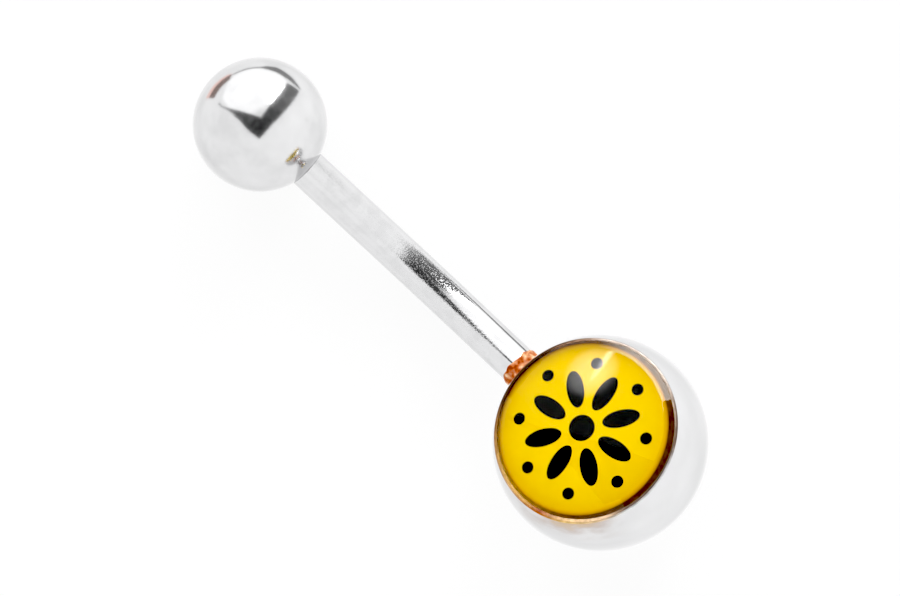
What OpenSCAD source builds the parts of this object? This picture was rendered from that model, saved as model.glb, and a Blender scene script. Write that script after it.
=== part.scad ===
/* [Bar] */
// Diameter of the bent bar
bar_d = 1.5; // [1.2:0.1:2]
// Straight length from the solder collar to the bend
lower_straight = 1; // [0.5:0.1:4]
// Radius of the bend, at the middle of the bar
bend_r = 9.3; // [5:0.1:15]
// Angle that the bar bends through
bend_angle = 34; // [25:1:40]
// Straight length from the bend to the seat of the top ball
upper_straight = 4.6; // [2:0.1:6]

/* [Lower ball] */
// Diameter of the lower ball
lower_d = 8; // [7:0.5:10]
// Height of the flat face over the middle of the lower ball
face_h = 1.95; // [1.6:0.05:2.2]
// Width of the metal rim at the flat face
rim_w = 0.1; // [0.1:0.05:0.3]
// Depth of the recess for the picture
recess_h = 0.55; // [0.4:0.05:0.8]
// How far the solder collar reaches past the ball along the bar
collar_l = 0.45; // [0.2:0.05:0.8]
// Thickness of the solder collar at its free end
collar_t = 0.04; // [0.02:0.01:0.1]

/* [Picture and dome] */
// Thickness of the picture disc
disc_t = 0.2; // [0.1:0.05:0.3]
// Height of the clear dome over the rim
dome_h = 0.65; // [0.3:0.05:1]

/* [Top ball] */
// Diameter of the top ball
top_d = 5; // [4:0.5:6]
// Diameter of the small flat where the top ball seats on the end of the bar
seat_d = 1.7; // [1.6:0.1:2.2]
// Diameter of the plain post that stands for the thread
post_d = 1.2; // [1:0.1:1.2]
// Length of the post past the end of the bar
post_l = 2.6; // [1.5:0.1:3]
// Room left in the top ball past the end of the post
bore_room = 0.15; // [0.1:0.05:0.4]

/* [Fit] */
// Gap kept between two pieces that touch on the real object
piece_gap = 0.02; // [0.01:0.01:0.05]

/* [Hidden] */
$fn = 96;

lower_r = lower_d / 2;
top_r = top_d / 2;

// Middle line of the bar: straight from the collar, round the bend, and straight to the seat of the top ball
collar_end = lower_r + collar_l;
bend_x = collar_end + lower_straight;
seat_x = bend_x + bend_r * sin(bend_angle) + upper_straight * cos(bend_angle);
seat_z = bend_r * (1 - cos(bend_angle)) + upper_straight * sin(bend_angle);

// Middle of the top ball, seen from the middle of the lower ball along the way that the bar leaves it
flat_h = sqrt(top_r ^ 2 - (seat_d / 2) ^ 2);
seat_reach = flat_h + piece_gap;
top_x = seat_x + seat_reach * cos(bend_angle);
top_z = seat_z + seat_reach * sin(bend_angle);
ball_distance = norm([top_x, top_z]);

// The ring lies on its two balls, so the line between their middles drops towards the smaller one
ball_drop = asin((lower_r - top_r) / ball_distance);
lean = atan2(top_z, top_x) + ball_drop;
floor_span = ball_distance * cos(ball_drop);
lower_x = -(floor_span + top_r - lower_r) / 2;

// Recess and dome
rim_r = sqrt(lower_r ^ 2 - face_h ^ 2);
recess_r = rim_r - rim_w;
disc_r = recess_r - piece_gap;
disc_floor = face_h - recess_h + piece_gap;
resin_floor = disc_floor + disc_t + piece_gap;
dome_r = (disc_r ^ 2 + dome_h ^ 2) / (2 * dome_h);

// Solder collar: a hollow curve runs from its straight wall on to the ball, touching both
collar_r = bar_d / 2 + collar_t;
fillet_r = 0.3;
fillet_steps = 6;
fillet_x = sqrt((lower_r + fillet_r) ^ 2 - (collar_r + fillet_r) ^ 2);
fillet_angle = atan2(fillet_x, collar_r + fillet_r);
// How far the post starts inside the bar, and the chamfer at its free end
post_root = 0.3;
post_chamfer = 0.15;
// How far a cutting shape reaches past what it cuts
past = 1;

// The bar is a hair thicker round the bend, and each straight part reaches a little way into it
bend_swell = 0.01;
run_overlap = 0.1;

// Frame of the lower ball: +X the way that the bar leaves it, +Z out of the flat face
module at_lower_ball() {
    translate([lower_x, 0, lower_r])
        rotate([0, lean, 0])
            children();
}

// Frame of the bar's upper end: +X out along the post
module at_seat() {
    at_lower_ball()
        translate([seat_x, 0, seat_z])
            rotate([0, -bend_angle, 0])
                children();
}

// A shape made along +Z is laid along +X
module along_x() {
    rotate([0, 90, 0])
        children();
}

module bend() {
    translate([bend_x, 0, bend_r])
        rotate([90, 0, 0])
            rotate([0, 0, -90])
                rotate_extrude(angle = bend_angle)
                    translate([bend_r, 0])
                        circle(r = bar_d / 2 + bend_swell);
}

// Straight part of the bar, from the bend to the seat of the top ball
module upper_run() {
    translate([-upper_straight - run_overlap, 0, 0])
        along_x()
            cylinder(d = bar_d, h = upper_straight + run_overlap);
}

// Half outline of the collar, turned round the bar
module collar_outline() {
    fillet = [
        for (i = [0:fillet_steps])
            let (a = 180 + fillet_angle * i / fillet_steps)
                [collar_r + fillet_r * (1 + cos(a)), fillet_x + fillet_r * sin(a)]
    ];
    polygon(concat([[0, 0], [0, collar_end], [collar_r, collar_end]], fillet));
}

module cup() {
    difference() {
        sphere(d = lower_d);
        translate([-lower_d, -lower_d, face_h])
            cube([2 * lower_d, 2 * lower_d, lower_d]);
        translate([0, 0, face_h - recess_h])
            cylinder(r = recess_r, h = recess_h + past);
    }
}

module post() {
    cylinder(d = post_d, h = post_l + post_root - post_chamfer);
    translate([0, 0, post_l + post_root - post_chamfer])
        cylinder(d1 = post_d, d2 = post_d - 2 * post_chamfer, h = post_chamfer);
}

module bar_with_cup() {
    color("gainsboro") {
        at_lower_ball() {
            cup();
            along_x()
                rotate_extrude()
                    collar_outline();
            along_x()
                cylinder(d = bar_d, h = bend_x + run_overlap);
            bend();
        }
        at_seat() {
            upper_run();
            translate([-post_root, 0, 0])
                along_x()
                    post();
        }
    }
}

module picture_disc() {
    color("gold")
        at_lower_ball()
            translate([0, 0, disc_floor])
                cylinder(r = disc_r, h = disc_t);
}

module resin_dome() {
    color([1, 1, 1, 0.3])
        at_lower_ball() {
            translate([0, 0, resin_floor])
                cylinder(r = disc_r, h = face_h - resin_floor);
            intersection() {
                translate([0, 0, face_h + dome_h - dome_r])
                    sphere(r = dome_r);
                translate([0, 0, face_h - piece_gap])
                    cylinder(r = disc_r, h = dome_h + past);
            }
        }
}

module top_ball() {
    color("gainsboro")
        at_seat()
            translate([seat_reach, 0, 0])
                difference() {
                    sphere(d = top_d);
                    translate([-flat_h - top_d, -top_d, -top_d])
                        cube([top_d, 2 * top_d, 2 * top_d]);
                    translate([-flat_h - past, 0, 0])
                        along_x()
                            cylinder(
                                r = post_d / 2 + piece_gap,
                                h = past + post_l + bore_room
                            );
                }
}

bar_with_cup();
picture_disc();
resin_dome();
top_ball();
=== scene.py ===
"""Belly button ring lying on a pale floor, seen from above in soft studio light."""

import math

import bpy
from mathutils import Matrix, Vector


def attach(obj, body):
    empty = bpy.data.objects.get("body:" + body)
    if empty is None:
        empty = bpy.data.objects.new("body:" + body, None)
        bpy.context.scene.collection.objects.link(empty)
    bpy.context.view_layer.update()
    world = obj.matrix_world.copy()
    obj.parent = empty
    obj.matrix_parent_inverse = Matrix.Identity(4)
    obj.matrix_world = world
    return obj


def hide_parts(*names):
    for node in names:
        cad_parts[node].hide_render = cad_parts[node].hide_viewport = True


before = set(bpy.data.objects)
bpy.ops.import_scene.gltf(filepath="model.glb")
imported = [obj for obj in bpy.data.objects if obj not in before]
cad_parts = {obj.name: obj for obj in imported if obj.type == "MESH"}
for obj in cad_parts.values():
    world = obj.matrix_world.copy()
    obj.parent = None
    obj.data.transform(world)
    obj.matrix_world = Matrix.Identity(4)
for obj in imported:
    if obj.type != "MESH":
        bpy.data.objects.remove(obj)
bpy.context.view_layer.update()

MM = 0.001
MICRON = 0.000001

# Sizes in millimetres, as in the part
BAR_R = 0.75
LOWER_STRAIGHT = 1.0
BEND_R = 9.3
BEND_ANGLE = math.radians(34)
UPPER_STRAIGHT = 4.6
LOWER_R = 4.0
FACE_H = 1.95
RIM_W = 0.1
RECESS_H = 0.55
COLLAR_L = 0.45
COLLAR_T = 0.04
DISC_T = 0.2
DOME_H = 0.65
TOP_R = 2.5
SEAT_R = 0.85
POST_R = 0.6
POST_L = 2.6
BORE_ROOM = 0.15
GAP = 0.02

COLLAR_END = LOWER_R + COLLAR_L
BEND_X = COLLAR_END + LOWER_STRAIGHT
BEND_LENGTH = BEND_R * BEND_ANGLE
BAR_LENGTH = LOWER_STRAIGHT + BEND_LENGTH + UPPER_STRAIGHT


def middle_line(reach):
    """Point and slope of the bar's middle line, by the length from the collar."""
    if reach <= LOWER_STRAIGHT:
        return COLLAR_END + reach, 0, 0
    bend = min(reach - LOWER_STRAIGHT, BEND_LENGTH)
    slope = bend / BEND_R
    rest = reach - LOWER_STRAIGHT - bend
    x = BEND_X + BEND_R * math.sin(slope) + rest * math.cos(slope)
    z = BEND_R * (1 - math.cos(slope)) + rest * math.sin(slope)
    return x, z, slope


SEAT_X, SEAT_Z, _ = middle_line(BAR_LENGTH)
FLAT_H = math.sqrt(TOP_R**2 - SEAT_R**2)
SEAT_REACH = FLAT_H + GAP
TOP_X = SEAT_X + SEAT_REACH * math.cos(BEND_ANGLE)
TOP_Z = SEAT_Z + SEAT_REACH * math.sin(BEND_ANGLE)
BALL_DISTANCE = math.hypot(TOP_X, TOP_Z)
BALL_DROP = math.asin((LOWER_R - TOP_R) / BALL_DISTANCE)
LEAN = math.atan2(TOP_Z, TOP_X) + BALL_DROP
FLOOR_SPAN = BALL_DISTANCE * math.cos(BALL_DROP)
LOWER_X = -(FLOOR_SPAN + TOP_R - LOWER_R) / 2
RIM_R = math.sqrt(LOWER_R**2 - FACE_H**2)
RECESS_R = RIM_R - RIM_W
RECESS_Z = FACE_H - RECESS_H
DISC_TOP = RECESS_Z + GAP + DISC_T
COLLAR_R = BAR_R + COLLAR_T

# Sizes in millimetres that only this scene has

# Thread of the post and of the hole: its pitch, the rings in each turn, and the length it fades in
THREAD_PITCH = 0.4
RINGS_A_TURN = 14
THREAD_FADE = 0.2
# Slope of the resin where it meets the rim, in degrees, and where that slope starts
SHOULDER_SLOPE = 28.5
SHOULDER_R = 3.05
# The recess sits a little off the middle of the face, so the rim is uneven
RECESS_X = 0.034
RECESS_Y = -0.037
# The yellow print sits off the middle of the recess, and each ink lies a step over the last
PRINT_R = 3.19
PRINT_X = 0.17
PRINT_Y = 0.02
INK_STEP = 0.004


def moved(x, y, z):
    return Matrix.Translation(Vector((x, y, z)) * MM)


def turned(axis, angle):
    return Matrix.Rotation(angle, 4, axis)


# Lower ball: +X the way that the bar leaves it, +Z out of the flat face
AT_LOWER = moved(LOWER_X, 0, LOWER_R) @ turned("Y", LEAN)
AT_RECESS = AT_LOWER @ moved(RECESS_X, RECESS_Y, 0)
AT_PRINT = AT_LOWER @ moved(PRINT_X, PRINT_Y, 0)
# Upper end of the bar: +X out along the post
AT_SEAT = AT_LOWER @ moved(SEAT_X, 0, SEAT_Z) @ turned("Y", -BEND_ANGLE)
# A shape made round +Z is laid along +X
ALONG_X = turned("Y", math.radians(90))


# Meshes


def add_mesh(name, verts, faces, place, materials, picks=None, crease=35):
    """A smooth-shaded object. Verts are in millimetres; picks holds each face's material."""
    mesh = bpy.data.meshes.new(name)
    mesh.from_pydata([place @ (Vector(v) * MM) for v in verts], [], faces)
    for material in materials:
        mesh.materials.append(material)
    if picks:
        mesh.polygons.foreach_set("material_index", picks)
    mesh.shade_smooth()
    mesh.set_sharp_from_angle(angle=math.radians(crease))
    obj = bpy.data.objects.new(name, mesh)
    bpy.context.scene.collection.objects.link(obj)
    return obj


def skin(rings, first=None, last=None):
    """Faces between rings of points, with a fan to a point at either end. Also each face's row."""
    count = len(rings[0])
    verts = [point for ring in rings for point in ring]
    faces = []
    rows = []
    for i in range(len(rings) - 1):
        low = i * count
        high = low + count
        for j in range(count):
            k = (j + 1) % count
            faces.append((low + j, low + k, high + k, high + j))
            rows.append(i + 1)
    if first is not None:
        verts.append(first)
        for j in range(count):
            faces.append((len(verts) - 1, (j + 1) % count, j))
            rows.append(0)
    if last is not None:
        verts.append(last)
        start = (len(rings) - 1) * count
        for j in range(count):
            faces.append((len(verts) - 1, start + j, start + (j + 1) % count))
            rows.append(len(rings))
    return verts, faces, rows


def evenly(start, end, steps):
    """Evenly spaced values from start to end, with both."""
    return [start + (end - start) * (i / steps) for i in range(steps + 1)]


def turns(count):
    """Angles of evenly spaced points round a circle."""
    return [2 * math.pi * i / count for i in range(count)]


def ring_at(radius, height, count):
    return [(radius * math.cos(a), radius * math.sin(a), height) for a in turns(count)]


def threaded_ring(root_r, depth, height, count):
    """Ring of points on a rounded thread that winds up round +Z."""
    ring = []
    for j, a in enumerate(turns(count)):
        phase = height / THREAD_PITCH - j / count
        crest = 0.5 - 0.5 * math.cos(2 * math.pi * phase)
        r = root_r + depth * crest
        ring.append((r * math.cos(a), r * math.sin(a), height))
    return ring


def lathe(profile, count=192):
    """Turns (radius, height) points round +Z. A radius of zero at either end becomes a point."""
    first = last = None
    inner = list(profile)
    if inner[0][0] == 0:
        first = (0, 0, inner.pop(0)[1])
    if inner[-1][0] == 0:
        last = (0, 0, inner.pop()[1])
    return skin([ring_at(r, h, count) for r, h in inner], first, last)


def arc(centre_r, centre_h, radius, start, end, steps):
    """Points on an arc, with angles in degrees from the outward direction."""
    points = []
    for degrees in evenly(start, end, steps):
        a = math.radians(degrees)
        points.append((centre_r + radius * math.cos(a), centre_h + radius * math.sin(a)))
    return points


def rounded(before, corner, after, size, steps=6):
    """Points that round off a corner of a profile, starting `size` away on both sides."""
    corner = Vector(corner)
    start = corner + (Vector(before) - corner).normalized() * size
    end = corner + (Vector(after) - corner).normalized() * size
    points = []
    for t in evenly(0, 1, steps):
        p = start * (1 - t) ** 2 + corner * 2 * t * (1 - t) + end * t**2
        points.append((p.x, p.y))
    return points


# Nodes of materials and lights


def add_node(tree, kind, inputs=(), **settings):
    node = tree.nodes.new(kind)
    for key, value in settings.items():
        setattr(node, key, value)
    for key, value in dict(inputs).items():
        if isinstance(value, bpy.types.NodeSocket):
            tree.links.new(value, node.inputs[key])
        else:
            node.inputs[key].default_value = value
    return node


def place_of(tree):
    return add_node(tree, "ShaderNodeTexCoord").outputs["Object"]


def worked_out(tree, operation, *values):
    node = add_node(tree, "ShaderNodeMath", enumerate(values), operation=operation)
    return node.outputs["Value"]


def plus(tree, first, second):
    return worked_out(tree, "ADD", first, second)


def times(tree, first, second):
    return worked_out(tree, "MULTIPLY", first, second)


def between(tree, operation, first, second):
    """Number worked out from two vectors, such as their distance."""
    node = add_node(tree, "ShaderNodeVectorMath", {0: first, 1: second}, operation=operation)
    return node.outputs["Value"]


def range_of(tree, value, low, high, to_low, to_high):
    """Goes from to_low to to_high as the value goes from low to high, and stays level past them."""
    inputs = {
        "Value": value,
        "From Min": low,
        "From Max": high,
        "To Min": to_low,
        "To Max": to_high,
    }
    return add_node(tree, "ShaderNodeMapRange", inputs).outputs["Result"]


def range_in_mm(tree, value, low_mm, high_mm, to_low, to_high):
    """The same for a value that is a length, with its two ends in millimetres."""
    return range_of(tree, value, low_mm * MM, high_mm * MM, to_low, to_high)


def clouds_of(tree, where, scale, detail):
    inputs = {"Vector": where, "Scale": scale, "Detail": detail}
    return add_node(tree, "ShaderNodeTexNoise", inputs).outputs["Fac"]


def noise_of(tree, size_mm, detail=2.0, where=None):
    """Noise whose features are about size_mm across."""
    return clouds_of(tree, where or place_of(tree), 1 / (size_mm * MM), detail)


def ramp_of(tree, value, *stops):
    """A colour ramp; each stop is (position, colour)."""
    node = add_node(tree, "ShaderNodeValToRGB", {"Fac": value})
    ramp = node.color_ramp
    while len(ramp.elements) < len(stops):
        ramp.elements.new(1.0)
    for element, (position, colour) in zip(ramp.elements, stops):
        element.position = position
        element.color = (*colour, 1)
    return node.outputs["Color"]


def bump_of(tree, height, depth_um, below=None):
    """Bump of a depth in micrometres, on top of another one if that is given."""
    inputs = {"Height": height, "Distance": depth_um * MICRON, "Strength": 1.0}
    if below is not None:
        inputs["Normal"] = below
    return add_node(tree, "ShaderNodeBump", inputs).outputs["Normal"]


# Materials

STEEL = (0.60, 0.60, 0.605)
STEEL_FILM = (0.565, 0.565, 0.57)
# Slow waves that the polishing leaves in all the steel: their length and depth
WAVES_MM = 1.6
WAVES_UM = 3.0


def new_material(name, **values):
    """A material with constant values set on its shader. Returns it with its shader."""
    material = bpy.data.materials.new(name)
    material.use_nodes = True
    shader = material.node_tree.nodes["Principled BSDF"]
    for key, value in values.items():
        shader.inputs[key.replace("_", " ")].default_value = value
    return material, shader


def new_metal(name, **values):
    return new_material(name, Base_Color=(*STEEL, 1), Metallic=1.0, **values)


def smeared(tree, size_mm):
    """Colour of steel that has a thin grey film in places."""
    return ramp_of(tree, noise_of(tree, size_mm, 4.0), (0.46, STEEL), (0.64, STEEL_FILM))


def polish(tree, grain, grain_um):
    """Surface of polished steel: slow waves, with a grain on them."""
    waves = bump_of(tree, noise_of(tree, WAVES_MM, 1.0), WAVES_UM)
    return bump_of(tree, grain, grain_um, waves)


def steel(name, grain_mm, grain_um, roughness):
    """Polished steel with a fine grain, and a thin film in places."""
    material, shader = new_metal(name, Roughness=roughness)
    tree = material.node_tree
    tree.links.new(smeared(tree, size_mm=1.1), shader.inputs["Base Color"])
    surface = polish(tree, noise_of(tree, grain_mm, 3.0), grain_um)
    tree.links.new(surface, shader.inputs["Normal"])
    return material


def bent_steel():
    """Steel of the bar: speckled round the bend and on to the solder, smooth by the top ball."""
    grain_mm = 0.055
    grain_um = 3.6
    speck_mm = 0.065
    smooth_roughness = 0.08
    speck_roughness = 0.22
    material, shader = new_metal("bar_steel")
    tree = material.node_tree
    place = add_node(tree, "ShaderNodeSeparateXYZ", {"Vector": place_of(tree)})
    along = place.outputs["X"]
    # The speckles end soon on the -Y side. On the +Y side they get stronger and run on further.
    plus_y = range_in_mm(tree, place.outputs["Y"], -0.25, -0.05, 0.0, 1.0)
    start = range_in_mm(tree, along, 3.0, 1.8, 0.10, 1.0)
    short_end = range_in_mm(tree, along, 0.3, -1.2, 1.0, 0.1)
    long_end = range_in_mm(tree, along, -2.2, -3.4, 1.0, 0.15)
    end = worked_out(tree, "MAXIMUM", short_end, times(tree, long_end, plus_y))
    speckled = times(tree, start, end)
    extra = times(tree, plus_y, range_in_mm(tree, along, 0.0, -1.0, 0.0, 0.7))
    strength = times(tree, speckled, plus(tree, extra, 1.0))
    grain = times(tree, noise_of(tree, grain_mm, 3.0), strength)
    specks = range_of(tree, noise_of(tree, speck_mm, 1.0), 0.50, 0.60, 0.0, speck_roughness)
    roughness = plus(tree, times(tree, specks, speckled), smooth_roughness)
    tree.links.new(smeared(tree, size_mm=0.6), shader.inputs["Base Color"])
    tree.links.new(polish(tree, grain, grain_um), shader.inputs["Normal"])
    tree.links.new(roughness, shader.inputs["Roughness"])
    return material


def mottled(tree, colour, size_mm, darkest):
    """The colour, darkened in uneven patches."""
    share = range_of(tree, noise_of(tree, size_mm, 3.0), 0.40, 0.60, darkest, 1.0)
    grey = add_node(tree, "ShaderNodeCombineColor", {"Red": share, "Green": share, "Blue": share})
    # Sockets of the mix for colours: 0 the share, 6 and 7 the two colours, and 2 the result
    inputs = {0: 1.0, 6: colour, 7: grey.outputs["Color"]}
    mix = add_node(tree, "ShaderNodeMix", inputs, data_type="RGBA", blend_type="MULTIPLY")
    return mix.outputs[2]


def turn_of(tree):
    """Turn round the middle of the lower ball's face, 0 to 1. It is 0.5 on the bar's side."""
    inputs = {0: place_of(tree), 1: AT_LOWER.translation}
    away = add_node(tree, "ShaderNodeVectorMath", inputs, operation="SUBTRACT").outputs["Vector"]
    across = between(tree, "DOT_PRODUCT", away, AT_LOWER.col[1].to_3d())
    along = between(tree, "DOT_PRODUCT", away, AT_LOWER.col[0].to_3d())
    angle = worked_out(tree, "ARCTAN2", across, along)
    return range_of(tree, angle, -math.pi, math.pi, 0.0, 1.0)


def solder():
    """Heat tint at the soldered joint: copper, orange brown and purple patches."""
    patch_mm = 0.26
    lump_mm = 0.15
    lump_um = 15.0
    material, shader = new_material(
        "heat_tinted_solder", Base_Color=(0.50, 0.18, 0.06, 1), Metallic=1.0, Roughness=0.95
    )
    tree = material.node_tree
    colour = ramp_of(
        tree,
        noise_of(tree, patch_mm, 2.5),
        (0.34, (0.44, 0.14, 0.07)),
        (0.41, (0.66, 0.26, 0.11)),
        (0.47, (0.58, 0.32, 0.21)),
        (0.54, (0.76, 0.47, 0.27)),
        (0.66, (0.84, 0.72, 0.58)),
    )
    lumps = bump_of(tree, noise_of(tree, lump_mm, 2.0), lump_um)
    tree.links.new(colour, shader.inputs["Base Color"])
    tree.links.new(lumps, shader.inputs["Normal"])
    return material


def tinted_rim():
    """Steel of the rim, coloured by turn round the face in browns, tans and orange, and plain steel
    on the side away from the bar.
    """
    material, shader = new_metal("rim_steel", Roughness=0.35)
    tree = material.node_tree
    colour = ramp_of(
        tree,
        turn_of(tree),
        (0.05, STEEL),
        (0.09, (0.22, 0.17, 0.14)),
        (0.16, (0.22, 0.17, 0.14)),
        (0.20, (0.42, 0.36, 0.32)),
        (0.34, (0.42, 0.36, 0.32)),
        (0.38, (0.22, 0.16, 0.12)),
        (0.42, (0.11, 0.06, 0.04)),
        (0.56, (0.10, 0.05, 0.03)),
        (0.62, (0.34, 0.17, 0.08)),
        (0.72, (0.58, 0.38, 0.22)),
        (0.79, (0.45, 0.14, 0.03)),
        (0.84, (0.74, 0.52, 0.22)),
        (0.90, (0.62, 0.46, 0.29)),
        (0.95, STEEL),
    )
    uneven = mottled(tree, colour, size_mm=0.25, darkest=0.75)
    tree.links.new(uneven, shader.inputs["Base Color"])
    return material


def cup_steel():
    """Steel of the lower ball, with a faint tint in patches under its rim, away from the bar."""
    grain_mm = 0.09
    grain_um = 0.7
    patch_mm = 1.4
    # Lengths away from the rim count for this much more, so the patches follow the rim
    stretch = 3.0
    hidden = (0, 0, 0)
    shown = (1, 1, 1)
    material, shader = new_metal("cup_steel", Roughness=0.10)
    tree = material.node_tree
    middle = AT_LOWER @ (Vector((0, 0, FACE_H)) * MM)
    away = between(tree, "DISTANCE", place_of(tree), middle)
    turn = turn_of(tree)
    rim_length = 2 * math.pi * RIM_R * MM
    flow = {"X": times(tree, turn, rim_length), "Y": times(tree, away, stretch)}
    along_rim = add_node(tree, "ShaderNodeCombineXYZ", flow).outputs["Vector"]
    patches = range_of(tree, noise_of(tree, patch_mm, 3.0, along_rim), 0.40, 0.58, 0.15, 1.0)
    near = range_in_mm(tree, away, 4.1, 3.5, 0.0, 1.0)
    side = ramp_of(tree, turn, (0.70, hidden), (0.80, shown), (0.88, shown), (0.94, hidden))
    share = times(tree, times(tree, near, patches), side)
    colour = ramp_of(
        tree,
        share,
        (0.0, STEEL),
        (0.5, (0.50, 0.46, 0.44)),
        (1.0, (0.50, 0.40, 0.30)),
    )
    tree.links.new(colour, shader.inputs["Base Color"])
    surface = polish(tree, noise_of(tree, grain_mm, 3.0), grain_um)
    tree.links.new(surface, shader.inputs["Normal"])
    return material


def browned(name, shine, *stops):
    """Metal or ink round the picture, in browns, tans and ochres that change round the face. Each
    stop is by turn.
    """
    material, shader = new_material(
        name, Base_Color=(0.11, 0.035, 0.006, 1), Roughness=0.6, Specular_IOR_Level=shine
    )
    tree = material.node_tree
    colour = ramp_of(tree, turn_of(tree), *stops)
    uneven = mottled(tree, colour, size_mm=0.22, darkest=0.72)
    tree.links.new(uneven, shader.inputs["Base Color"])
    return material


def browned_wall():
    return browned(
        "browned_wall",
        0.5,
        (0.05, (0.09, 0.065, 0.05)),
        (0.10, (0.16, 0.11, 0.075)),
        (0.17, (0.42, 0.33, 0.27)),
        (0.34, (0.42, 0.33, 0.27)),
        (0.38, (0.28, 0.16, 0.10)),
        (0.42, (0.24, 0.14, 0.09)),
        (0.45, (0.045, 0.02, 0.012)),
        (0.56, (0.06, 0.028, 0.014)),
        (0.62, (0.30, 0.16, 0.05)),
        (0.70, (0.55, 0.33, 0.10)),
        (0.76, (0.50, 0.28, 0.08)),
        (0.79, (0.28, 0.07, 0.03)),
        (0.84, (0.75, 0.50, 0.26)),
        (0.91, (0.65, 0.46, 0.30)),
        (0.95, (0.12, 0.08, 0.06)),
    )


def browned_backing():
    return browned(
        "picture_backing",
        0.0,
        (0.14, (0.18, 0.10, 0.045)),
        (0.17, (0.32, 0.17, 0.03)),
        (0.35, (0.32, 0.17, 0.03)),
        (0.38, (0.40, 0.22, 0.10)),
        (0.42, (0.36, 0.20, 0.10)),
        (0.45, (0.12, 0.05, 0.03)),
        (0.55, (0.15, 0.06, 0.02)),
        (0.60, (0.52, 0.30, 0.02)),
        (0.70, (0.66, 0.42, 0.02)),
        (0.77, (0.55, 0.30, 0.01)),
        (0.83, (0.20, 0.09, 0.02)),
        (0.93, (0.18, 0.095, 0.04)),
        (1.0, (0.18, 0.10, 0.045)),
    )


def printed(name, colour):
    """Matt ink under the resin, so it has no shine of its own."""
    return new_material(name, Base_Color=(*colour, 1), Roughness=0.9, Specular_IOR_Level=0.0)


def yellow_print_and_shade():
    """Yellow ink, with painted shade towards the edge of the picture: ochre near the edge and brown
    at the edge itself.
    """
    ink = (1.0, 0.71, 0.0)
    # Distance from the middle of the picture at which the painted shade starts
    shade_start_r = 2.0
    material, shader = printed("yellow_print_and_shade", ink)
    tree = material.node_tree
    middle = AT_PRINT @ (Vector((0, 0, DISC_TOP)) * MM)
    away = between(tree, "DISTANCE", place_of(tree), middle)
    # Painted shade: the yellow darkens to ochre, then brown, towards the edge of the picture
    colour = ramp_of(
        tree,
        range_in_mm(tree, away, shade_start_r, PRINT_R, 0.0, 1.0),
        (0.0, ink),
        (0.55, (0.98, 0.68, 0.0)),
        (0.84, (0.95, 0.63, 0.0)),
        (0.92, (0.86, 0.50, 0.0)),
        (0.97, (0.66, 0.33, 0.0)),
        (1.0, (0.36, 0.16, 0.0)),
    )
    tree.links.new(colour, shader.inputs["Base Color"])
    return material


def clear_resin():
    material, _ = new_material(
        "clear_resin", Base_Color=(1, 1, 1, 1), Roughness=0.0, IOR=1.46, Transmission_Weight=1.0
    )
    return material


ball_steel = steel("ball_steel", grain_mm=0.09, grain_um=0.9, roughness=0.14)
lower_steel = cup_steel()
bar_steel = bent_steel()
post_steel = steel("post_steel", grain_mm=0.07, grain_um=0.5, roughness=0.16)
rim_steel = tinted_rim()
solder_tint = solder()
wall_tint = browned_wall()
yellow = yellow_print_and_shade()
black, _ = printed("black_print", (0.004, 0.004, 0.005))
backing = browned_backing()
resin = clear_resin()


# Pieces


def bent_bar():
    """Round bar along its middle line, from inside the collar to the seat of the top ball."""
    around = 96
    chamfer = 0.02
    inside_collar = 0.3
    end_inner_r = POST_R - 0.1
    bend_end = LOWER_STRAIGHT + BEND_LENGTH
    reaches = [-inside_collar]
    reaches += evenly(0, LOWER_STRAIGHT, 12)[:-1]
    reaches += evenly(LOWER_STRAIGHT, bend_end, 72)
    reaches += evenly(bend_end, BAR_LENGTH - chamfer, 24)[1:]
    stations = [(reach, BAR_R) for reach in reaches]
    stations += [(BAR_LENGTH, BAR_R - chamfer), (BAR_LENGTH, end_inner_r)]
    rings = []
    for reach, radius in stations:
        x, z, slope = middle_line(reach)
        ring = []
        for a in turns(around):
            up = radius * math.cos(a)
            y = -radius * math.sin(a)
            ring.append((x - up * math.sin(slope), y, z + up * math.cos(slope)))
        rings.append(ring)
    verts, faces, _ = skin(rings)
    return add_mesh("bent_bar", verts, faces, AT_LOWER, [bar_steel])


def with_recess_aside(point):
    """The recess is moved a little off the middle, and the ball round it stays where it is."""
    x, y, z = point
    if z >= RECESS_Z and math.hypot(x, y) <= RECESS_R:
        return x + RECESS_X, y + RECESS_Y, z
    return point


def lower_cup():
    """Ball cut flat, with a thin rounded rim and a recess whose wall flares a little."""
    rim_angle = math.degrees(math.asin(FACE_H / LOWER_R))
    # Angles that the rounded edge and the fan at the ball's foot take up, in degrees
    edge_angle = 0.7
    foot_angle = 0.5
    # How far the roundings reach from the two corners of the rim
    outer_rounding = 0.035
    inner_rounding = 0.03
    flare = 0.03
    ball = [(0, -LOWER_R)]
    ball += arc(0, 0, LOWER_R, foot_angle - 90, rim_angle - edge_angle, 150)
    rim_corner = (RIM_R, FACE_H)
    wall_top = (RECESS_R, FACE_H)
    wall_foot = (RECESS_R - flare, DISC_TOP - GAP)
    edge = rounded(ball[-1], rim_corner, wall_top, outer_rounding)
    lip = rounded(rim_corner, wall_top, wall_foot, inner_rounding)
    recess = lip + [wall_foot, (wall_foot[0], RECESS_Z), (0, RECESS_Z)]
    verts, faces, rows = lathe(ball + edge + recess)
    verts = [with_recess_aside(point) for point in verts]
    # Material of each face: 0 on the ball, 1 on the rim and 2 in the recess
    rim_row = len(ball) - 1
    recess_row = len(ball + edge) - 1
    picks = [(row >= rim_row) + (row >= recess_row) for row in rows]
    materials = [lower_steel, rim_steel, wall_tint]
    return add_mesh("lower_cup", verts, faces, AT_LOWER, materials, picks)


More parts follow.
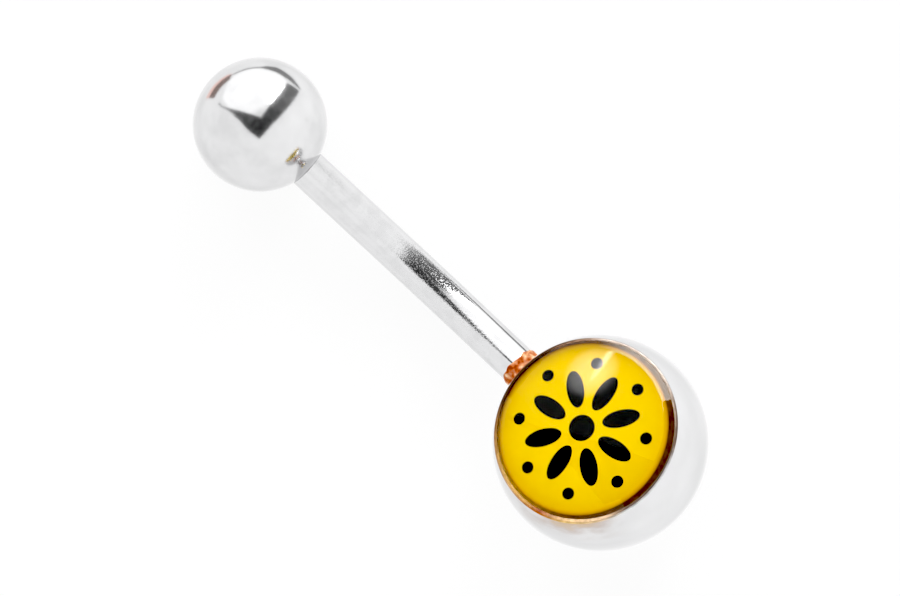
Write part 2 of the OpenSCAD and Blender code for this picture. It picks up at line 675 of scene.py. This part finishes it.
def solder_collar():
    """Ring of solder round the end of the bar, with an uneven edge."""
    around = 96
    fillet_r = 0.3
    # How far the free edge of the solder swings along the bar, and its girth in and out
    edge_swing = 0.07
    girth_swing = 0.008
    fillet_x = math.sqrt((LOWER_R + fillet_r) ** 2 - (COLLAR_R + fillet_r) ** 2)
    fillet_angle = math.degrees(math.atan2(fillet_x, COLLAR_R + fillet_r))
    profile = arc(COLLAR_R + fillet_r, fillet_x, fillet_r, 180 + fillet_angle, 180, 10)
    # The free edge is rounded off and ends inside the bar
    profile += [(COLLAR_R, COLLAR_END - 0.05), (COLLAR_R - 0.015, COLLAR_END)]
    profile += [(BAR_R - 0.02, COLLAR_END + 0.03)]
    rings = []
    for radius, height in profile:
        share = max((height - LOWER_R) / COLLAR_L, 0)
        ring = []
        for a in turns(around):
            wave = 0.5 * math.sin(3 * a + 0.8) + 0.3 * math.sin(7 * a) + 0.2 * math.sin(12 * a)
            h = height + edge_swing * wave * share
            r = radius + girth_swing * math.sin(5 * a + 1.0) * share
            ring.append((r * math.cos(a), r * math.sin(a), h))
        rings.append(ring)
    verts, faces, _ = skin(rings)
    return add_mesh("solder_collar", verts, faces, AT_LOWER @ ALONG_X, [solder_tint])


def threaded_post():
    """Post at the upper end of the bar, with its thread cut into it and a chamfer at its end."""
    around = 64
    depth = 0.09
    chamfer = 0.12
    steps = int(POST_L / THREAD_PITCH * RINGS_A_TURN)
    rings = []
    for x in evenly(0, POST_L, steps):
        left = POST_L - x
        fade = min(1, x / THREAD_FADE, left / THREAD_FADE)
        cut = max(chamfer - left, 0)
        rings.append(threaded_ring(POST_R - depth - cut, depth * fade, x, around))
    verts, faces, _ = skin(rings, last=(0, 0, POST_L))
    return add_mesh("threaded_post", verts, faces, AT_SEAT @ ALONG_X, [post_steel], crease=50)


def top_ball_piece():
    """Ball with a small flat and a countersunk threaded hole, from the hole's end outwards."""
    around = 192
    bore_r = POST_R + 0.01
    groove = 0.06
    sink = 0.1
    drill_point = 0.1
    rounding = 0.015
    # Angles that the rounded edge of the flat and the fan at the ball's far side take up
    edge_angle = 0.5
    far_angle = 0.4
    flat_angle = math.degrees(math.acos(SEAT_R / TOP_R))
    mouth = -FLAT_H + sink
    hole_end = -FLAT_H + POST_L + BORE_ROOM
    steps = int((hole_end - mouth) / THREAD_PITCH * RINGS_A_TURN)
    rings = []
    for z in evenly(hole_end, mouth, steps)[:-1]:
        fade = min(1, (z - mouth) / THREAD_FADE, (hole_end - z) / THREAD_FADE)
        rings.append(threaded_ring(bore_r, groove * fade, z, around))
    ball = arc(0, 0, TOP_R, edge_angle - flat_angle, 90 - far_angle, 150)
    outline = [(bore_r, mouth), (bore_r + sink, -FLAT_H)]
    outline += rounded((bore_r, -FLAT_H), (SEAT_R, -FLAT_H), ball[0], rounding) + ball
    rings += [ring_at(r, h, around) for r, h in outline]
    verts, faces, _ = skin(rings, first=(0, 0, hole_end + drill_point), last=(0, 0, TOP_R))
    place = AT_SEAT @ moved(SEAT_REACH, 0, 0) @ ALONG_X
    return add_mesh("ball_on_thread", verts, faces, place, [ball_steel])


def dome_profile():
    """Outline of the resin, from its foot in the recess up to the middle of the dome."""
    # The resin reaches a little into the wall and the print, so no air shows between them
    overlap = 0.01
    edge_r = RECESS_R + overlap
    edge_z = FACE_H - 0.03
    foot_z = DISC_TOP - overlap
    slope = math.tan(math.radians(SHOULDER_SLOPE))
    shoulder_z = edge_z + (edge_r - SHOULDER_R) * slope
    cap_h = FACE_H + DOME_H - shoulder_z
    points = [(0, foot_z), (edge_r, foot_z)]
    for r in evenly(edge_r, SHOULDER_R, 12):
        points.append((r, edge_z + (edge_r - r) * slope))
    for r in evenly(SHOULDER_R, 0, 90)[1:]:
        points.append((r, shoulder_z + cap_h * (1 - (r / SHOULDER_R) ** 2)))
    return points


def clear_dome():
    verts, faces, _ = lathe(dome_profile())
    return add_mesh("clear_dome", verts, faces, AT_RECESS, [resin], crease=40)


def flat_disc(name, radius, height, place, material):
    """Thin disc with its top at the given height."""
    thickness = 0.01
    verts, faces, _ = lathe([(radius, height - thickness), (radius, height), (0, height)])
    return add_mesh(name, verts, faces, place, [material])


def motif(name, outlines, height, place):
    """Flat ink shapes, each given as a closed outline."""
    verts = []
    faces = []
    for outline in outlines:
        faces.append(tuple(range(len(verts), len(verts) + len(outline))))
        verts += [(x, y, height) for x, y in outline]
    return add_mesh(name, verts, faces, place, [black])


def ellipse(reach, turn, long_r, short_r, angle=0.0):
    """Closed outline on the print, in shares of its radius. The long axis lies at the angle."""
    around = 64
    cx = reach * PRINT_R * math.cos(turn)
    cy = reach * PRINT_R * math.sin(turn)
    points = []
    for a in turns(around):
        u = long_r * PRINT_R * math.cos(a)
        v = short_r * PRINT_R * math.sin(a)
        x = cx + u * math.cos(angle) - v * math.sin(angle)
        y = cy + u * math.sin(angle) + v * math.cos(angle)
        points.append((x, y))
    return points


def rosette():
    """Generic pattern: eight petals round a dot, with a small dot between each two petals."""
    petals = 8
    first_turn = math.radians(10)
    # Shares of the print's radius
    middle_r = 0.15
    petal_reach = 0.46
    petal_long_r = 0.22
    petal_short_r = 0.10
    dot_reach = 0.76
    dot_r = 0.07
    shapes = [ellipse(0, 0, middle_r, middle_r)]
    for step in turns(petals):
        turn = first_turn + step
        shapes.append(ellipse(petal_reach, turn, petal_long_r, petal_short_r, turn))
        shapes.append(ellipse(dot_reach, turn + math.pi / petals, dot_r, dot_r))
    return shapes


bar_pieces = [bent_bar(), lower_cup(), solder_collar(), threaded_post()]
disc_pieces = [
    flat_disc("picture_base", RECESS_R - GAP, DISC_TOP - INK_STEP, AT_RECESS, backing),
    flat_disc("picture_yellow", PRINT_R, DISC_TOP, AT_PRINT, yellow),
    motif("picture_rosette", rosette(), DISC_TOP + INK_STEP, AT_PRINT),
]
dome = clear_dome()
ball = top_ball_piece()

for piece in bar_pieces:
    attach(piece, "bar")
    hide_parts("bar_with_cup")
for piece in disc_pieces:
    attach(piece, "bar")
    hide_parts("picture_disc")
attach(dome, "bar")
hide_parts("resin_dome")
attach(ball, "ball")
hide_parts("top_ball")


# Camera: straight above, a little towards -Y

FRAME_W = 900
PX_PER_MM = 27.012
CAMERA_AWAY = 250
CAMERA_LEAN = math.radians(1)
CAMERA_TURN = math.radians(43.015)
# Middle of the picture, in pixels right of and below the point midway between the balls
AIM_RIGHT = 20.4
AIM_DOWN = 14.6

picture_right = Vector((-math.cos(CAMERA_TURN), -math.sin(CAMERA_TURN), 0))
picture_up = Vector((math.sin(CAMERA_TURN), -math.cos(CAMERA_TURN), 0))


def add_camera():
    toward = Vector((0, -math.sin(CAMERA_LEAN), math.cos(CAMERA_LEAN)))
    up = (picture_up - toward * picture_up.dot(toward)).normalized()
    right = up.cross(toward)
    lower_ball = Vector((LOWER_X, 0, LOWER_R))
    upper_ball = Vector((LOWER_X + FLOOR_SPAN, 0, TOP_R))
    middle = (lower_ball + upper_ball) / 2
    aim = middle + (right * AIM_RIGHT - up * AIM_DOWN) / PX_PER_MM
    data = bpy.data.cameras.new("camera")
    data.sensor_width = 36
    data.lens = data.sensor_width * CAMERA_AWAY * PX_PER_MM / FRAME_W
    data.clip_start = 0.01
    data.clip_end = 20
    camera = bpy.data.objects.new("camera", data)
    place = Matrix((right, up, toward)).transposed().to_4x4()
    place.translation = (aim + toward * CAMERA_AWAY) * MM
    camera.matrix_world = place
    bpy.context.scene.collection.objects.link(camera)
    bpy.context.scene.camera = camera


# Studio: white all round, with a soft box, a dark gap beside it and thin dark edges past its foot.
# Points of it are (zenith, azimuth) in degrees. Azimuth 0 is the picture's right and 90 its top.

CARD_AWAY = 450
GAP_AWAY = CARD_AWAY + 10
EDGE_AWAY = CARD_AWAY - 60

# Outline of the soft box. The dark gap follows its left and right sides from the same tip.
BOX_TIP = (12.3, 75)
BOX_LEFT = [(35.7, 142.2), (58.4, 151.4)]
BOX_FOOT = [(83, 144.1), (103.7, 121.7), (110.5, 100.5), (107, 80), (104, 66)]
BOX_RIGHT = [(94.5, 58.5), (68.5, 59), (37.7, 63)]


def sky(zenith, azimuth, away=1):
    """Point of the studio, a number of millimetres away, or else the direction to it."""
    z = math.radians(zenith)
    a = math.radians(azimuth)
    flat = picture_right * math.cos(a) + picture_up * math.sin(a)
    return (flat * math.sin(z) + Vector((0, 0, math.cos(z)))) * away


def side_of(first, second):
    """Direction square to two others, for lines that run through both."""
    return sky(*first).cross(sky(*second)).normalized()


def glow(name, strength=1.0, colour=(1, 1, 1)):
    """Light of an even strength. Returns the material with its light shader."""
    material = bpy.data.materials.new(name)
    material.use_nodes = True
    tree = material.node_tree
    tree.nodes.remove(tree.nodes["Principled BSDF"])
    inputs = {"Strength": strength, "Color": (*colour, 1)}
    light = add_node(tree, "ShaderNodeEmission", inputs)
    out = tree.nodes["Material Output"]
    tree.links.new(light.outputs["Emission"], out.inputs["Surface"])
    return material, light


def way_out(tree):
    """The way from the ring to a point of the studio, with a length of one."""
    inputs = {0: place_of(tree)}
    return add_node(tree, "ShaderNodeVectorMath", inputs, operation="NORMALIZE").outputs["Vector"]


def facing(tree, direction):
    """Cosine between the way to a point of the studio and the given direction."""
    return between(tree, "DOT_PRODUCT", way_out(tree), direction)


def within(tree, point, edge, core, at_edge, at_core):
    """Goes from at_edge to at_core between two angles, in degrees, round a point of the studio."""
    low = math.cos(math.radians(edge))
    high = math.cos(math.radians(core))
    return range_of(tree, facing(tree, sky(*point)), low, high, at_edge, at_core)


def card(name, corners, material, away=CARD_AWAY):
    points = [sky(zenith, azimuth, away) for zenith, azimuth in corners]
    obj = add_mesh(name, points, [tuple(range(len(points)))], Matrix(), [material])
    obj.visible_camera = False


def add_soft_box():
    """Soft box at the top of the picture: bright at its foot, with a lamp and its streak."""
    box_level = 1.68
    # What is added to that at the foot, in the lamp, in the streak and at the tip
    foot_level = 7.8
    lamp_level = 4.8
    glare_level = 10.5
    tip_level = -0.50
    lamp_middle = (61.2, 117.8)
    glare_middle = (65, 109)
    foot_side = side_of((50, 78), (90.5, 105))
    streak_side = side_of((69, 104), (57.5, 119.5))
    material, light = glow("soft_box")
    tree = material.node_tree
    foot_line = range_of(tree, facing(tree, foot_side), -0.036, -0.002, foot_level, 0.0)
    high_up = range_of(tree, facing(tree, sky(0, 0)), 0.0, 0.22, 0.0, 1.0)
    foot = times(tree, foot_line, high_up)
    lamp = within(tree, lamp_middle, 11.5, 5.5, 0.0, lamp_level)
    off_streak = worked_out(tree, "ABSOLUTE", facing(tree, streak_side))
    streak = range_of(tree, off_streak, 0.0, 0.035, 1.0, 0.0)
    glare = times(tree, streak, within(tree, glare_middle, 13, 1, 0.0, glare_level))
    even = plus(tree, within(tree, BOX_TIP, 20, 2, 0.0, tip_level), box_level)
    strength = plus(tree, plus(tree, foot, lamp), plus(tree, glare, even))
    tree.links.new(strength, light.inputs["Strength"])
    card("soft_box", [BOX_TIP] + BOX_LEFT + BOX_FOOT + BOX_RIGHT, material)


def add_dark_gap():
    """Dark gap on both sides of the soft box, in the shape of a V, lighter away from its tip."""
    gap_tip = (24.2, 270)
    darkest_point = (20, 280)
    darkest = 0.135
    lightest = 0.32
    material, light = glow("dark_gap")
    tree = material.node_tree
    level = within(tree, darkest_point, 80, 10, lightest, darkest)
    clouds = clouds_of(tree, way_out(tree), scale=9.0, detail=3.0)
    uneven = range_of(tree, clouds, 0.35, 0.65, -0.05, 0.05)
    tree.links.new(plus(tree, level, uneven), light.inputs["Strength"])
    left = [gap_tip, (20.2, 212), (32.3, 170), (51.3, 156.6), (62, 155.0), (76, 154.8)]
    left += [(84, 153), (84, 151), (76, 153.2)] + BOX_LEFT[::-1] + [BOX_TIP]
    right = [gap_tip, BOX_TIP] + BOX_RIGHT[::-1]
    right += [(101, 42.5), (81.5, 38.5), (49.1, 28), (22.2, 2)]
    card("dark_gap_left", left, material, GAP_AWAY)
    card("dark_gap_right", right, material, GAP_AWAY)


def add_dark_edges():
    """Thin edges past the foot of the soft box: grey ones, and a brown one with a pink fringe."""
    grey, _ = glow("dark_edge", 0.40)
    brown, _ = glow("brown_edge", 0.42, (1.0, 0.80, 0.74))
    pink, _ = glow("pink_fringe", 1.35, (1.0, 0.72, 0.66))
    right = [(113.4, 94), (120.5, 85), (122.5, 76.5), (117.5, 64.5), (111, 51.5), (105.3, 41.5)]
    right += [(103, 47.5), (103.5, 56), (104.4, 65.5), (107.2, 75.5), (109, 85)]
    middle = [(113, 120), (114.8, 104), (115.3, 89.6), (112, 92), (111.4, 104), (110.5, 119)]
    left = [(113.5, 152.5), (116.5, 138), (114.5, 119.5), (104.2, 124.3), (99.5, 150)]
    fringe = [(122, 154), (124, 140), (120, 124), (114.5, 119.5), (116.5, 138), (113.5, 152.5)]
    card("dark_edge_right", right, grey, EDGE_AWAY)
    card("dark_edge_left", left, brown, EDGE_AWAY)
    card("pink_fringe", fringe, pink, EDGE_AWAY)
    card("dark_edge_middle", middle, grey, EDGE_AWAY)


def add_floor():
    """Pale floor. It is lit from within, so that the ring throws hardly any shadow."""
    half = 2000
    material, _ = new_material(
        "pale_floor",
        Base_Color=(0.08, 0.08, 0.08, 1),
        Roughness=1.0,
        Specular_IOR_Level=0.0,
        Emission_Color=(1, 1, 1, 1),
        Emission_Strength=0.90,
    )
    corners = [(-half, -half, 0), (half, -half, 0), (half, half, 0), (-half, half, 0)]
    floor = add_mesh("floor", corners, [(0, 1, 2, 3)], Matrix(), [material])
    floor.visible_glossy = False


def add_world():
    """White all round, a little dimmer towards the lower left of the picture and below."""
    dim_side = 1.31
    bright_side = 1.45
    straight_below = 0.82
    upper_right = sky(90, 45)
    world = bpy.data.worlds.new("studio")
    world.use_nodes = True
    tree = world.node_tree
    way = add_node(tree, "ShaderNodeTexCoord").outputs["Generated"]
    to_side = between(tree, "DOT_PRODUCT", way, upper_right)
    level = range_of(tree, to_side, -1.0, 1.0, dim_side, bright_side)
    clouds = clouds_of(tree, way, scale=2.5, detail=3.0)
    uneven = range_of(tree, clouds, 0.3, 0.7, -0.05, 0.05)
    height = add_node(tree, "ShaderNodeSeparateXYZ", {"Vector": way}).outputs["Z"]
    below = range_of(tree, height, -0.4, -1.0, 1.0, straight_below)
    light = tree.nodes["Background"]
    light.inputs["Color"].default_value = (1, 1, 1, 1)
    tree.links.new(times(tree, plus(tree, level, uneven), below), light.inputs["Strength"])
    bpy.context.scene.world = world


def set_tones():
    """Plain tones with a firm black, as in the photograph."""
    settings = bpy.context.scene.view_settings
    settings.view_transform = "Standard"
    settings.use_curve_mapping = True
    settings.curve_mapping.black_level = (0.06, 0.06, 0.06)


add_camera()
add_world()
add_floor()
add_soft_box()
add_dark_gap()
add_dark_edges()
set_tones()
